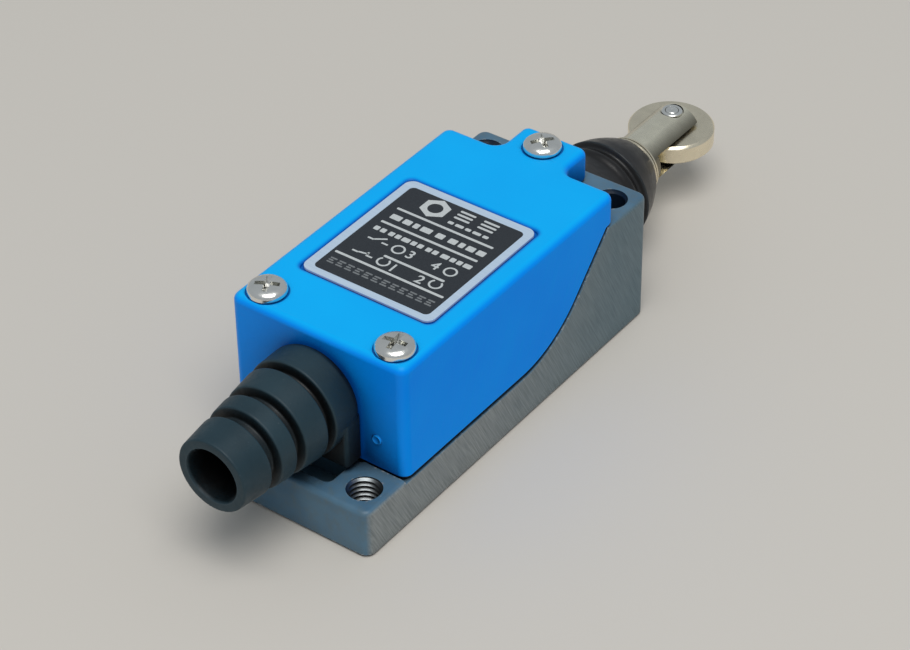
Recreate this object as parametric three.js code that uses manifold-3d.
// Plunger limit switch with a roller in line with the body.
// Millimetres. X runs across the body, +Y from the cable end to the roller, +Z up from the mounting face.
// The origin lies on the mounting face, midway between the two pairs of fixing holes.

import * as THREE from 'three';
import { mergeVertices } from 'three/addons/utils/BufferGeometryUtils.js';
import Module from 'manifold-3d';

const wasm = await Module();
wasm.setup();

// ---------------------------------------------------------------- driving dimensions

const BODY = { halfWidth: 14, wall: 2, cornerRadius: 1.4, cavityRadius: 1.5 };
const BASE = { front: -32, rear: 32, floor: 2.6, lugTop: 7.5, rim: 2.3, pocketHalfWidth: 6, padRadius: 1.2 };
const HEAD = { top: 20.3, innerFace: 20.4, boreRadius: 5.2, spigotEnd: 34.4 };
const COVER = { front: -23.8, rear: 23.6, top: 25.4, edgeRadius: 1.1, roof: 2.2 };
const TAB = { halfWidth: 5.25, rear: 30.2, fillet: 1.9, cornerRadius: 1.2 };
const SEAM = { z: 7.4, halfGap: 0.32, arcStart: 2.1, arcRadius: 17.2, slope: 46.3 * Math.PI / 180 };
const GASKET = { halfThickness: 0.24, outerInset: 0.4, width: 1.6 };
const FIXING = { x: 10.5, y: 28, tapped: 2.1, plain: 2, mouth: 2.35 };
const COVER_SCREW = { x: 10.3, frontY: -20.55, rearY: 26.55, headRadius: 2.7, seatDepth: 0.15 };
const COVER_SCREW_LENGTH = { front: 22.2, rear: 9.6 };
const PLATE = { left: -10.4, right: 10.7, front: -13.87, rear: 10.24, cornerRadius: 1.4, thickness: 0.35 };
const GLAND = { z: 16.3, tip: -44.95, tipRadius: 5.32, rootRadius: 7.15, bore: 3.72, neck: 5.5, groove: 1.4 };
const GLAND_FOOT = { halfWidth: 7.08, front: -27.1, bottom: 8.2 };
const GLAND_GROOVES = [[-40.2, -38.4], [-35.8, -34.2], [-30.3, -28.9]];
const AXIS_Z = 9.4;
const BUSH = { inner: 23.2, outer: 34.3, bore: 3.1, radius: 5.15 };
const ROD = { innerEnd: 21.1, radius: 3, shoulderRadius: 3.4, boreRadius: 1.8, boreEnd: 38.2 };
const BOOT = { base: 32.1, tip: 48.7 };
const COLLAR = { start: 48.8, end: 49.75, radius: 4.65 };
const FORK = { start: 49.8, slotBottom: 51.3, end: 62.3, radius: 3.93, pinSeat: 3.55, halfSlot: 2.05 };
const ROLLER = { y: 60.1, radius: 6.38, halfThickness: 1.53, chamfer: 0.4, bore: 1.35 };
const PIN = { radius: 1.2, headRadius: 1.55, headHeight: 0.5 };
const BLOCK = { halfWidth: 10.8, front: -13.3, rear: 14.7, top: 14.2, screwY: -9.8 };
const CHANNEL = { halfWidth: 4.6, floor: 5.5, front: -10.8, rear: 12.7 };
const TERMINAL = { x: 7.8, openY: -0.3, closedY: 9.7, thickness: 0.8 };
const CARRIER = { front: -3.8, rear: 12.5, halfWidth: 2.2, noseEnd: 17.7, noseRadius: 1.6 };
const BRIDGE = { openY: 3.05, closedY: 8.25, halfThickness: 0.3, halfLength: 4.3, halfHeight: 1 };
const CONTACT = { x: 3.65, radius: 0.7, height: 0.35 };
const GAP = 0.05;

const ROUND = 36;
const SMALL_ROUND = 16;
const HIDDEN_ROUND = 12;

// ---------------------------------------------------------------- materials

function finish(color, roughness, metalness) {
  return new THREE.MeshStandardMaterial({ color, roughness, metalness });
}

const bluePlastic = finish(0x0a8fe0, 0.35, 0);
const paintedMetal = finish(0x54707c, 0.5, 0.4);
const blackRubber = finish(0x1c1d20, 0.75, 0);
const nickel = finish(0xc9c0ae, 0.25, 1);
const brightSteel = finish(0xd6d6d4, 0.2, 1);
const darkPlate = finish(0x30353a, 0.45, 0.6);
const blackPlastic = finish(0x202224, 0.5, 0);
const brass = finish(0xc8a24e, 0.35, 1);
const springSteel = finish(0x8d8f92, 0.35, 1);
const bronze = finish(0xa9824f, 0.45, 1);

// ---------------------------------------------------------------- solids from three.js geometry

function enclosedVolume(position, index) {
  const [a, b, c] = [new THREE.Vector3(), new THREE.Vector3(), new THREE.Vector3()];
  let volume = 0;
  for (let i = 0; i < index.length; i += 3) {
    a.fromBufferAttribute(position, index[i]);
    b.fromBufferAttribute(position, index[i + 1]);
    c.fromBufferAttribute(position, index[i + 2]);
    volume += a.dot(b.cross(c)) / 6;
  }
  return volume;
}

// A closed solid with its faces pointing out, whichever way the geometry was wound.
function solid(geometry) {
  geometry.deleteAttribute('normal');
  geometry.deleteAttribute('uv');
  const merged = mergeVertices(geometry, 1e-4);
  const corners = merged.index.array;
  const index = [];
  for (let i = 0; i < corners.length; i += 3) {
    const [a, b, c] = corners.subarray(i, i + 3);
    if (a !== b && b !== c && c !== a) index.push(a, b, c);
  }
  if (enclosedVolume(merged.attributes.position, index) < 0) index.reverse();
  const vertProperties = new Float32Array(merged.attributes.position.array);
  return new wasm.Manifold(new wasm.Mesh({ numProp: 3, vertProperties, triVerts: new Uint32Array(index) }));
}

function geometryOf(body) {
  const { vertProperties, triVerts } = body.getMesh();
  const geometry = new THREE.BufferGeometry();
  geometry.setAttribute('position', new THREE.BufferAttribute(vertProperties, 3));
  geometry.setIndex(new THREE.BufferAttribute(triVerts, 1));
  geometry.computeVertexNormals();
  return geometry;
}

function block(x0, x1, y0, y1, z0, z1) {
  const box = new THREE.BoxGeometry(x1 - x0, y1 - y0, z1 - z0);
  return solid(box.translate((x0 + x1) / 2, (y0 + y1) / 2, (z0 + z1) / 2));
}

function polygon(points) {
  return new THREE.Shape(points.map(([x, y]) => new THREE.Vector2(x, y)));
}

function roundedRectangle(x0, x1, y0, y1, r) {
  const shape = new THREE.Shape();
  shape.absarc(x1 - r, y1 - r, r, 0, Math.PI / 2);
  shape.absarc(x0 + r, y1 - r, r, Math.PI / 2, Math.PI);
  shape.absarc(x0 + r, y0 + r, r, Math.PI, 1.5 * Math.PI);
  shape.absarc(x1 - r, y0 + r, r, 1.5 * Math.PI, 2 * Math.PI);
  return shape;
}

// A plan outline raised from z0 to z1.
function raised(shape, z0, z1, curveSegments = 3) {
  const geometry = new THREE.ExtrudeGeometry(shape, { depth: z1 - z0, bevelEnabled: false, curveSegments });
  return solid(geometry.translate(0, 0, z0));
}

// A side outline, drawn in Y and Z, carried across the body from x0 to x1.
function across(shape, x0, x1) {
  const geometry = new THREE.ExtrudeGeometry(shape, { depth: x1 - x0, bevelEnabled: false });
  const axes = new THREE.Matrix4().makeBasis(
    new THREE.Vector3(0, 1, 0),
    new THREE.Vector3(0, 0, 1),
    new THREE.Vector3(1, 0, 0),
  );
  return solid(geometry.applyMatrix4(axes).translate(x0, 0, 0));
}

function lathe(profile, facets) {
  return new THREE.LatheGeometry(profile.map(([r, h]) => new THREE.Vector2(r, h)), facets);
}

// A profile of [radius, y] turned about the line x = 0 at height z.
function turnedAlongY(profile, z, facets = ROUND) {
  return solid(lathe(profile, facets).translate(0, 0, z));
}

// A profile of [radius, z] turned about the upright line through x, y.
function turnedAlongZ(profile, x, y, facets = SMALL_ROUND) {
  return solid(lathe(profile, facets).rotateX(Math.PI / 2).translate(x, y, 0));
}

function rodProfile(r, h0, h1) {
  return [[0, h0], [r, h0], [r, h1], [0, h1]];
}

function tubeProfile(inner, outer, h0, h1) {
  return [[inner, h0], [outer, h0], [outer, h1], [inner, h1], [inner, h0]];
}

function rodAlongY(r, y0, y1, z = AXIS_Z, facets = ROUND) {
  return turnedAlongY(rodProfile(r, y0, y1), z, facets);
}

function rodAlongZ(r, z0, z1, x, y, facets = SMALL_ROUND) {
  return turnedAlongZ(rodProfile(r, z0, z1), x, y, facets);
}

class Helix extends THREE.Curve {
  constructor(radius, turns, y0, y1) {
    super();
    Object.assign(this, { radius, turns, y0, y1 });
  }

  getPoint(t, target = new THREE.Vector3()) {
    const angle = 2 * Math.PI * this.turns * t;
    const y = THREE.MathUtils.lerp(this.y0, this.y1, t);
    return target.set(this.radius * Math.cos(angle), y, AXIS_Z + this.radius * Math.sin(angle));
  }
}

// A round-wire spring on the plunger's axis, its outside ends at y0 and y1.
function coil(meanRadius, wireRadius, turns, y0, y1) {
  const stepsPerTurn = 9;
  const ring = new THREE.Shape();
  ring.absarc(0, 0, wireRadius, 0, 2 * Math.PI);
  const extrudePath = new Helix(meanRadius, turns, y0 + wireRadius, y1 - wireRadius);
  const steps = Math.round(turns * stepsPerTurn);
  return solid(new THREE.ExtrudeGeometry(ring, { extrudePath, steps, curveSegments: 3 }));
}

// Both members of a pair that mirrors about the body's middle plane.
const SIDES = [[-1, 'left'], [1, 'right']];

// The stretch between two distances from the middle plane, on one side of it, lowest X first.
function stretch(side, inner, outer) {
  return side < 0 ? [-outer, -inner] : [inner, outer];
}

// ---------------------------------------------------------------- the seam between base and cover

// The seam's side view, moved square to itself by offset: level, then an arc, then a slope up to the head.
function seamPoints(offset, frontY, rearY) {
  const arcSteps = 7;
  const radius = SEAM.arcRadius - offset;
  const centreZ = SEAM.z + SEAM.arcRadius;
  const points = [[frontY, SEAM.z + offset]];
  for (let i = 0; i <= arcSteps; i++) {
    const angle = SEAM.slope * i / arcSteps;
    points.push([SEAM.arcStart + radius * Math.sin(angle), centreZ - radius * Math.cos(angle)]);
  }
  const [arcY, arcZ] = points.at(-1);
  const topZ = HEAD.top + (SEAM.halfGap + offset) / 2;
  points.push([arcY + (topZ - arcZ) / Math.tan(SEAM.slope), topZ], [rearY, topZ]);
  return points;
}

function cavity(z0, z1, inset = 0) {
  const x = BODY.halfWidth - BODY.wall + inset;
  const front = COVER.front + BODY.wall - inset;
  return raised(roundedRectangle(-x, x, front, HEAD.innerFace + inset, BODY.cavityRadius), z0, z1);
}

// ---------------------------------------------------------------- base

function basePlan() {
  const { halfWidth: x, cornerRadius } = BODY;
  return raised(roundedRectangle(-x, x, BASE.front, BASE.rear, cornerRadius), 0, HEAD.top + 5);
}

function baseSide() {
  const beyond = 40;
  const seam = seamPoints(-SEAM.halfGap, COVER.front, beyond);
  const lug = [[COVER.front, BASE.lugTop], [-beyond, BASE.lugTop]];
  const outline = [[-beyond, -1], [beyond, -1], ...seam.reverse(), ...lug];
  return across(polygon(outline), -BODY.halfWidth - 1, BODY.halfWidth + 1);
}

// The pocket under the gland, wider beside the cover, where the pads of the lugs are rounded off.
function frontPocket() {
  const { pocketHalfWidth: x, padRadius: r } = BASE;
  const front = BASE.front + BASE.rim;
  const shape = new THREE.Shape();
  shape.absarc(x - 1, front + 1, 1, 1.5 * Math.PI, 2 * Math.PI);
  shape.absarc(x + r, COVER.front - r, r, Math.PI, Math.PI / 2, true);
  shape.absarc(-x - r, COVER.front - r, r, Math.PI / 2, 0, true);
  shape.absarc(1 - x, front + 1, 1, Math.PI, 1.5 * Math.PI);
  return raised(shape, BASE.floor, BASE.lugTop + 1);
}

// The collar that the boot grips, with a bead at its end.
function bootSpigot() {
  const end = HEAD.spigotEnd;
  const profile = [[0, 30], [6.6, 30], [6.6, end - 0.9], [7.1, end - 0.7], [7.1, end], [0, end]];
  return turnedAlongY(profile, AXIS_Z);
}

function tappedHole(x, y) {
  const { tapped, mouth } = FIXING;
  const bevel = mouth - tapped;
  const top = BASE.lugTop;
  const profile = [
    [0, -1], [mouth + 1, -1], [tapped, bevel], [tapped, top - bevel], [mouth + 1, top + 1], [0, top + 1],
  ];
  return turnedAlongZ(profile, x, y);
}

function plainHole(x, y) {
  const { plain, mouth } = FIXING;
  const top = HEAD.top;
  const profile = [[0, -1], [plain, -1], [plain, top - mouth + plain], [mouth + 1, top + 1], [0, top + 1]];
  return turnedAlongZ(profile, x, y);
}

function baseHousing() {
  const plan = basePlan();
  let body = plan.intersect(baseSide()).subtract(cavity(BASE.floor, COVER.top)).subtract(frontPocket());
  body = body.add(bootSpigot()).subtract(rodAlongY(HEAD.boreRadius, HEAD.innerFace - 1, HEAD.spigotEnd + 1));
  for (const [side] of SIDES) {
    const screwX = side * COVER_SCREW.x;
    const bossTop = SEAM.z - SEAM.halfGap;
    const boss = rodAlongZ(3.1, BASE.floor - 0.5, bossTop, screwX, COVER_SCREW.frontY);
    body = body.add(boss.intersect(plan));
    body = body.subtract(rodAlongZ(1.5, BASE.floor, HEAD.top, screwX, COVER_SCREW.frontY, HIDDEN_ROUND));
    const blockScrewHole = [side * TERMINAL.x, BLOCK.screwY, HIDDEN_ROUND];
    body = body.subtract(rodAlongZ(1.25, BASE.floor - 1.5, BASE.floor + 1, ...blockScrewHole));
    body = body.subtract(tappedHole(side * FIXING.x, -FIXING.y));
    body = body.subtract(plainHole(side * FIXING.x, FIXING.y));
  }
  return body.subtract(rodAlongZ(1.5, HEAD.top - 5, HEAD.top + 1, 0, COVER_SCREW.rearY, HIDDEN_ROUND));
}

// ---------------------------------------------------------------- gasket and cover

function coverPlan() {
  const { halfWidth: x, cornerRadius: r } = BODY;
  const { halfWidth: tabX, rear: tabRear, fillet, cornerRadius: tabR } = TAB;
  const { front, rear } = COVER;
  const shape = new THREE.Shape();
  shape.absarc(x - r, front + r, r, -Math.PI / 2, 0);
  shape.absarc(x - r, rear - r, r, 0, Math.PI / 2);
  shape.absarc(tabX + fillet, rear + fillet, fillet, -Math.PI / 2, -Math.PI, true);
  shape.absarc(tabX - tabR, tabRear - tabR, tabR, 0, Math.PI / 2);
  shape.absarc(tabR - tabX, tabRear - tabR, tabR, Math.PI / 2, Math.PI);
  shape.absarc(-tabX - fillet, rear + fillet, fillet, 0, -Math.PI / 2, true);
  shape.absarc(r - x, rear - r, r, Math.PI / 2, Math.PI);
  shape.absarc(r - x, front + r, r, Math.PI, 1.5 * Math.PI);
  return shape;
}

// The cover's outline with its top edge rounded, carried down past the seam.
function coverBlank() {
  const bottom = 2;
  const r = COVER.edgeRadius;
  const depth = COVER.top - bottom - 2 * r;
  const bevel = { bevelThickness: r, bevelSize: r, bevelOffset: -r, bevelSegments: 3 };
  const geometry = new THREE.ExtrudeGeometry(coverPlan(), { depth, curveSegments: 3, ...bevel });
  return solid(geometry.translate(0, 0, bottom + r));
}

function coverSide() {
  const beyond = 40;
  const seam = seamPoints(SEAM.halfGap, -beyond, beyond);
  return across(polygon([...seam, [beyond, COVER.top + 1], [-beyond, COVER.top + 1]]), -20, 20);
}

function plateRecess() {
  const margin = 0.8;
  const { left, right, front, rear, cornerRadius, thickness } = PLATE;
  const corners = [left - margin, right + margin, front - margin, rear + margin];
  const shape = roundedRectangle(...corners, cornerRadius + margin);
  return raised(shape, COVER.top - thickness - 0.05, COVER.top + 1);
}

function frontCover() {
  const outer = coverBlank().intersect(coverSide());
  let body = outer.subtract(cavity(0, COVER.top - COVER.roof));
  const seatZ = COVER.top - COVER_SCREW.seatDepth;
  const screwPlaces = [[0, COVER_SCREW.rearY]];
  for (const [side] of SIDES) {
    const boss = rodAlongZ(3.2, SEAM.z, COVER.top - 1, side * COVER_SCREW.x, COVER_SCREW.frontY);
    body = body.add(boss.intersect(outer));
    screwPlaces.push([side * COVER_SCREW.x, COVER_SCREW.frontY]);
  }
  for (const [x, y] of screwPlaces) {
    body = body.subtract(rodAlongZ(1.7, 0, COVER.top, x, y, HIDDEN_ROUND));
    body = body.subtract(rodAlongZ(COVER_SCREW.headRadius + 0.3, seatZ, COVER.top + 1, x, y));
  }
  body = body.subtract(rodAlongY(GLAND.neck + 0.25, COVER.front - 1, COVER.front + BODY.wall + 0.2, GLAND.z));
  return body.subtract(plateRecess());
}

function coverGasket() {
  const { halfThickness, outerInset, width } = GASKET;
  const upper = seamPoints(halfThickness, -40, TAB.rear - 0.5);
  const lower = seamPoints(-halfThickness, -40, TAB.rear - 0.5);
  const band = across(polygon([...lower, ...upper.reverse()]), -BODY.halfWidth, BODY.halfWidth);
  const x = BODY.halfWidth - outerInset;
  const front = COVER.front + outerInset;
  const ring = raised(roundedRectangle(-x, x, front, COVER.rear, BODY.cornerRadius - outerInset), 0, 30);
  const hollow = roundedRectangle(width - x, x - width, front + width, COVER.rear - width, 1);
  let plan = ring.subtract(raised(hollow, -1, 31));
  plan = plan.add(block(-TAB.halfWidth + 0.5, TAB.halfWidth - 0.5, COVER.rear - 1, TAB.rear - 0.5, 0, 30));
  const eyelets = [[0, COVER_SCREW.rearY]];
  for (const [side] of SIDES) {
    plan = plan.add(rodAlongZ(2.9, 0, 30, side * COVER_SCREW.x, COVER_SCREW.frontY).intersect(ring));
    eyelets.push([side * COVER_SCREW.x, COVER_SCREW.frontY]);
  }
  for (const [x, y] of eyelets) plan = plan.subtract(rodAlongZ(1.75, -1, 31, x, y, HIDDEN_ROUND));
  return band.intersect(plan);
}

// ---------------------------------------------------------------- screws and nameplate

function crossRecess(x, y, top, arm, depth) {
  const half = 0.4;
  const upright = block(x - half, x + half, y - arm, y + arm, top - depth, top + 1);
  return upright.add(block(x - arm, x + arm, y - half, y + half, top - depth, top + 1));
}

function panHeadScrew(x, y, underHead, length, headRadius, shankRadius, facets) {
  const height = 0.54 * headRadius;
  const tip = underHead - length;
  const shank = [[0, tip], [shankRadius - 0.4, tip], [shankRadius, tip + 0.4], [shankRadius, underHead]];
  const dome = [[1, 0], [1, 0.4], [0.88, 0.75], [0.55, 0.95], [0, 1]];
  const profile = [...shank, ...dome.map(([r, h]) => [r * headRadius, underHead + h * height])];
  const screw = turnedAlongZ(profile, x, y, facets);
  return screw.subtract(crossRecess(x, y, underHead + height, 0.58 * headRadius, 0.6 * height));
}

function coverScrew(x, y, length) {
  const underHead = COVER.top - COVER_SCREW.seatDepth + GAP;
  return panHeadScrew(x, y, underHead, length, COVER_SCREW.headRadius, 1.45, 20);
}

function nameplate() {
  const { left, right, front, rear, cornerRadius, thickness } = PLATE;
  const bottom = COVER.top - thickness;
  return raised(roundedRectangle(left, right, front, rear, cornerRadius), bottom, COVER.top - 0.01);
}

// ---------------------------------------------------------------- cable gland

// The gland tapers from its tip to the last groove, then runs straight to the cover.
function glandRadius(y) {
  const taperEnd = GLAND_GROOVES[2][1];
  const along = THREE.MathUtils.inverseLerp(GLAND.tip, taperEnd, Math.min(y, taperEnd));
  return THREE.MathUtils.lerp(GLAND.tipRadius, GLAND.rootRadius, along);
}

// The straight-sided foot under the gland's root, in front of the cover.
function glandFoot() {
  const { halfWidth: x, front, bottom } = GLAND_FOOT;
  const rear = COVER.front - GAP;
  const slab = block(-x, x, front, rear, bottom, GLAND.z - 0.5);
  return slab.subtract(rodAlongY(GLAND.neck, front - 1, rear + 1, GLAND.z));
}

// A tapered tube with three grooves, a neck through the cover's front wall and a flange behind it.
function cableGland() {
  const { tip, tipRadius, bore, neck, groove } = GLAND;
  const wallFront = COVER.front - GAP;
  const wallRear = COVER.front + BODY.wall + GAP;
  const profile = [[bore, tip], [tipRadius - 0.5, tip], [tipRadius, tip + 0.5]];
  for (const [y0, y1] of GLAND_GROOVES) {
    profile.push([glandRadius(y0), y0], [glandRadius(y0) - groove, y0 + 0.2]);
    profile.push([glandRadius(y1) - groove, y1 - 0.2], [glandRadius(y1), y1]);
  }
  const root = GLAND.rootRadius;
  profile.push([root, wallFront - 0.9], [root - 0.3, wallFront - 0.3], [root - 0.9, wallFront]);
  profile.push([neck, wallFront], [neck, wallRear]);
  profile.push([neck + 1.2, wallRear], [neck + 1.2, wallRear + 1.8], [bore, wallRear + 1.8], [bore, tip]);
  return turnedAlongY(profile, GLAND.z, 32).add(glandFoot());
}

// ---------------------------------------------------------------- plunger, boot and roller

function guideBush() {
  return turnedAlongY(tubeProfile(BUSH.bore, BUSH.radius, BUSH.inner, BUSH.outer), AXIS_Z);
}

function rubberBoot() {
  const { base, tip } = BOOT;
  const outside = [
    [9.2, base], [9.05, base + 1.8], [8.05, base + 4], [8.35, base + 5.7], [7.3, base + 7.6],
    [7.65, base + 8.9], [7.2, base + 10.6], [6.6, base + 12.4], [5.8, base + 14.4], [4.9, tip],
  ];
  const inside = [[3.6, tip], [3.6, tip - 1.9], [4.4, tip - 2], [7.3, base + 3.4], [7.3, base], outside[0]];
  return turnedAlongY([...outside, ...inside], AXIS_Z, 32);
}

function retainingClip() {
  const front = BUSH.inner - 1.1;
  const ring = turnedAlongY(tubeProfile(2.65, 4.6, front, front + 0.8), AXIS_Z, SMALL_ROUND);
  return ring.subtract(block(-1.6, 1.6, front - 1, front + 2, AXIS_Z - 6, AXIS_Z));
}

// A round spot face on each side of the fork, for the pin's heads.
function pinSeats() {
  const { pinSeat } = FORK;
  const upper = rodAlongZ(PIN.headRadius + 0.25, AXIS_Z + pinSeat, AXIS_Z + 6, 0, ROLLER.y);
  return upper.add(rodAlongZ(PIN.headRadius + 0.25, AXIS_Z - 6, AXIS_Z - pinSeat, 0, ROLLER.y));
}

function plungerRod() {
  const { innerEnd, radius, shoulderRadius, boreRadius, boreEnd } = ROD;
  const clip = BUSH.inner - 1.15;
  const shoulder = COLLAR.start - 2.2;
  const profile = [
    [0, innerEnd], [radius - 0.3, innerEnd], [radius, innerEnd + 0.3], [radius, clip], [2.6, clip],
    [2.6, clip + 0.9], [radius, clip + 0.9], [radius, shoulder], [shoulderRadius, shoulder],
    [shoulderRadius, COLLAR.start - GAP], [radius, COLLAR.start - GAP], [radius, FORK.start],
    [FORK.radius, FORK.start], [FORK.radius, FORK.end - 0.4], [FORK.radius - 0.4, FORK.end], [0, FORK.end],
  ];
  const slot = block(-6, 6, FORK.slotBottom, FORK.end + 1, AXIS_Z - FORK.halfSlot, AXIS_Z + FORK.halfSlot);
  let rod = turnedAlongY(profile, AXIS_Z).subtract(pinSeats()).subtract(slot);
  rod = rod.subtract(rodAlongY(boreRadius, innerEnd - 1, boreEnd, AXIS_Z, SMALL_ROUND));
  return rod.subtract(rodAlongZ(PIN.radius + GAP, 0, 2 * AXIS_Z, 0, ROLLER.y));
}

function springWasher() {
  const rear = COLLAR.start - 2.25;
  return turnedAlongY(tubeProfile(ROD.radius + GAP, 4.3, rear - 0.6, rear), AXIS_Z, SMALL_ROUND);
}

function bootCollar() {
  return turnedAlongY(tubeProfile(ROD.radius + 0.1, COLLAR.radius, COLLAR.start, COLLAR.end), AXIS_Z);
}

function rollerPin() {
  const { radius, headRadius, headHeight } = PIN;
  const seat = FORK.pinSeat + 0.02;
  const end = FORK.pinSeat + headHeight;
  const head = [[headRadius, seat], [headRadius, end - 0.15], [headRadius - 0.2, end]];
  const upper = [[radius, seat], ...head, [0, end]];
  const lower = upper.map(([r, h]) => [r, -h]).reverse();
  const profile = [...lower, ...upper].map(([r, h]) => [r, h + AXIS_Z]);
  return turnedAlongZ(profile, 0, ROLLER.y);
}

function roller() {
  const { radius, halfThickness: h, chamfer, bore } = ROLLER;
  const half = [[radius, h - chamfer], [radius - chamfer, h], [bore, h]];
  const mirrored = half.map(([r, z]) => [r, -z]).reverse();
  const profile = [...mirrored, ...half, mirrored[0]].map(([r, z]) => [r, z + AXIS_Z]);
  return turnedAlongZ(profile, 0, ROLLER.y, ROUND);
}

function pusherPin() {
  const start = CARRIER.noseEnd + GAP;
  const head = start + 7.7;
  const profile = [[0, start], [1.4, start], [1.4, head], [1.6, head], [1.6, head + 0.8], [0, head + 0.8]];
  return turnedAlongY(profile, AXIS_Z, SMALL_ROUND);
}

// ---------------------------------------------------------------- contact block

function switchCase() {
  const { halfWidth, front, rear, top } = BLOCK;
  const channelX = CHANNEL.halfWidth;
  let body = block(-halfWidth, halfWidth, front, rear, BASE.floor + GAP, top);
  body = body.subtract(block(-channelX, channelX, CHANNEL.front, CHANNEL.rear, CHANNEL.floor, top + 1));
  body = body.subtract(rodAlongY(CARRIER.noseRadius + 0.2, rear - 3, rear + 1, AXIS_Z, SMALL_ROUND));
  for (const [side] of SIDES) {
    body = body.subtract(rodAlongZ(1.45, 0, top + 1, side * TERMINAL.x, BLOCK.screwY, HIDDEN_ROUND));
    for (const y of [TERMINAL.openY, TERMINAL.closedY]) {
      body = body.subtract(rodAlongZ(1.25, top - 5.5, top + 1, side * TERMINAL.x, y, HIDDEN_ROUND));
    }
  }
  return body;
}

function switchLid() {
  const { front, rear, top } = BLOCK;
  const x = 5;
  const plate = block(-x, x, front + 1, rear - 0.5, top + 0.95, top + 2.1);
  const frontFoot = block(-x, x, front + 1, front + 2.2, top + GAP, top + 1.5);
  const rearFoot = block(-x, x, rear - 1.7, rear - 0.5, top + GAP, top + 1.5);
  return plate.add(frontFoot).add(rearFoot);
}

// A contact disc from y0 to y1, either of which may be the higher.
function contactDisc(side, y0, y1) {
  return rodAlongY(CONTACT.radius, y0, y1, AXIS_Z, HIDDEN_ROUND).translate([side * CONTACT.x, 0, 0]);
}

// The hole that a terminal's screw passes through.
function screwHole(side, y) {
  return rodAlongZ(1.35, 0, HEAD.top, side * TERMINAL.x, y, HIDDEN_ROUND);
}

// A strip with a screw pad on the case and a leg down into the channel, facing +Y or -Y.
function terminal(side, y, facing) {
  const bottom = BLOCK.top + GAP;
  const top = bottom + TERMINAL.thickness;
  const half = TERMINAL.thickness / 2;
  const pad = block(...stretch(side, 4.4, 10.4), y - 2.6, y + 2.6, bottom, top);
  const arm = block(...stretch(side, 2.9, 4.6), y - 1.2, y + 1.2, bottom, top);
  const leg = block(...stretch(side, 2.9, 4.4), y - half, y + half, AXIS_Z - 2, top);
  const disc = contactDisc(side, y, y + facing * (half + CONTACT.height));
  return pad.add(arm).add(leg).add(disc).subtract(screwHole(side, y));
}

function wireClamp(side, y) {
  const bottom = BLOCK.top + TERMINAL.thickness + 2 * GAP;
  const x = side * TERMINAL.x;
  return block(x - 2.4, x + 2.4, y - 2.4, y + 2.4, bottom, bottom + 0.7).subtract(screwHole(side, y));
}

function blockFixing(side, y, underHead, length) {
  return panHeadScrew(side * TERMINAL.x, y, underHead, length, 2.3, 1.15, HIDDEN_ROUND);
}

function terminalScrew(side, y) {
  const underHead = BLOCK.top + TERMINAL.thickness + 0.7 + 3 * GAP;
  return blockFixing(side, y, underHead, 6.4);
}

function blockScrew(side) {
  return blockFixing(side, BLOCK.screwY, BLOCK.top + GAP, 13.1);
}

// The sliding bar, with a nose out of the case and a window for each moving contact.
function contactCarrier() {
  const { front, rear, halfWidth: x, noseEnd, noseRadius } = CARRIER;
  let body = block(-x, x, front, rear, AXIS_Z - 2, AXIS_Z + 2);
  body = body.add(rodAlongY(noseRadius, rear - 0.5, noseEnd, AXIS_Z, SMALL_ROUND));
  const openWindow = [BRIDGE.openY - 0.45, BRIDGE.openY + 1.85];
  const closedWindow = [BRIDGE.closedY - 2.35, BRIDGE.closedY + 0.55];
  for (const [y0, y1] of [openWindow, closedWindow]) {
    body = body.subtract(block(-x - 1, x + 1, y0, y1, AXIS_Z - 1.2, AXIS_Z + 1.2));
  }
  return body;
}

// A moving strip with a contact at each end, on the side given by facing.
function contactBridge(y, facing) {
  const { halfThickness: t, halfLength, halfHeight } = BRIDGE;
  let body = block(-halfLength, halfLength, y - t, y + t, AXIS_Z - halfHeight, AXIS_Z + halfHeight);
  const reach = t + CONTACT.height;
  for (const [side] of SIDES) body = body.add(contactDisc(side, y, y + facing * reach));
  return body;
}

// ---------------------------------------------------------------- assembly

const limitSwitch = new THREE.Group();
limitSwitch.name = 'limit_switch';

function add(name, body, material) {
  const mesh = new THREE.Mesh(geometryOf(body), material);
  mesh.name = name;
  limitSwitch.add(mesh);
}

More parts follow.
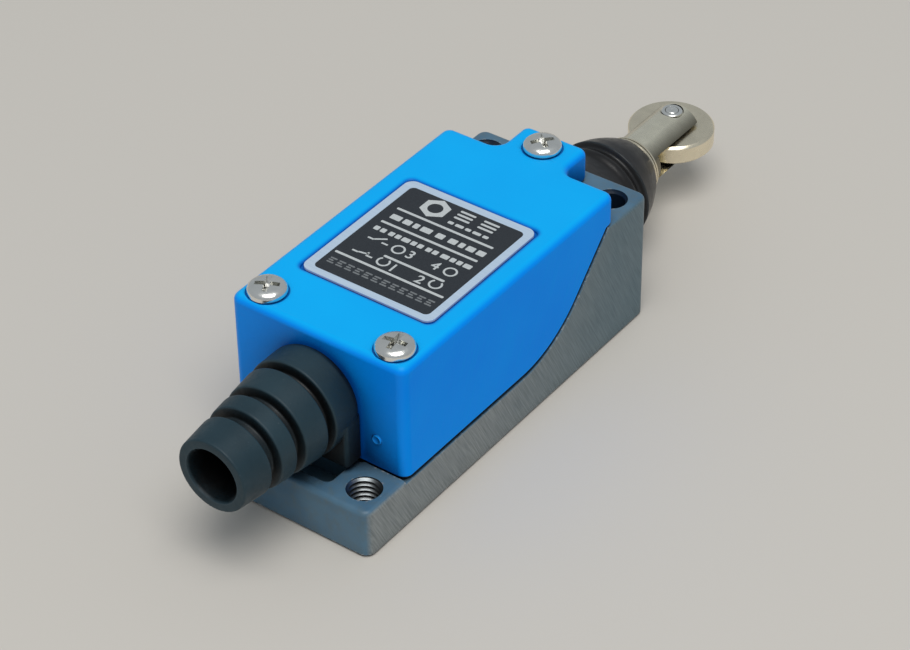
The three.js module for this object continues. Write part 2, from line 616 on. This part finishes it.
add('base_housing', baseHousing(), paintedMetal);
add('cover_gasket', coverGasket(), blackRubber);
add('front_cover', frontCover(), bluePlastic);
add('nameplate', nameplate(), darkPlate);
add('cable_gland', cableGland(), blackRubber);
add('cover_screw_rear', coverScrew(0, COVER_SCREW.rearY, COVER_SCREW_LENGTH.rear), brightSteel);
add('guide_bush', guideBush(), bronze);
add('rubber_boot', rubberBoot(), blackRubber);
add('plunger_spring', coil(3.75, 0.27, 8, HEAD.spigotEnd + GAP, COLLAR.start - 2.9), springSteel);
add('plunger_rod', plungerRod(), nickel);
add('retaining_clip', retainingClip(), springSteel);
add('spring_washer', springWasher(), springSteel);
add('boot_collar', bootCollar(), nickel);
add('roller_pin', rollerPin(), nickel);
add('roller', roller(), nickel);
add('overtravel_spring', coil(1.4, 0.2, 6, CARRIER.noseEnd + 8.6, ROD.boreEnd - GAP), springSteel);
add('pusher_pin', pusherPin(), springSteel);
add('switch_case', switchCase(), blackPlastic);
add('switch_lid', switchLid(), blackPlastic);
add('contact_carrier', contactCarrier(), blackPlastic);
add('carrier_spring', coil(1.3, 0.2, 4, BLOCK.front + 2.55, CARRIER.front - GAP), springSteel);
add('bridge_no', contactBridge(BRIDGE.openY, -1), brass);
add('bridge_nc', contactBridge(BRIDGE.closedY, 1), brass);
add('contact_spring_no', coil(0.9, 0.15, 2.5, BRIDGE.openY + 0.35, BRIDGE.openY + 1.8), springSteel);
add('contact_spring_nc', coil(0.9, 0.15, 3, BRIDGE.closedY - 2.3, BRIDGE.closedY - 0.35), springSteel);

for (const [side, name] of SIDES) {
  const screwX = side * COVER_SCREW.x;
  add(`cover_screw_${name}`, coverScrew(screwX, COVER_SCREW.frontY, COVER_SCREW_LENGTH.front), brightSteel);
  add(`block_screw_${name}`, blockScrew(side), brightSteel);
  for (const [y, facing, contact] of [[TERMINAL.openY, 1, 'no'], [TERMINAL.closedY, -1, 'nc']]) {
    add(`terminal_${contact}_${name}`, terminal(side, y, facing), brass);
    add(`wire_clamp_${contact}_${name}`, wireClamp(side, y), brightSteel);
    add(`terminal_screw_${contact}_${name}`, terminalScrew(side, y), brightSteel);
  }
}

export default limitSwitch;
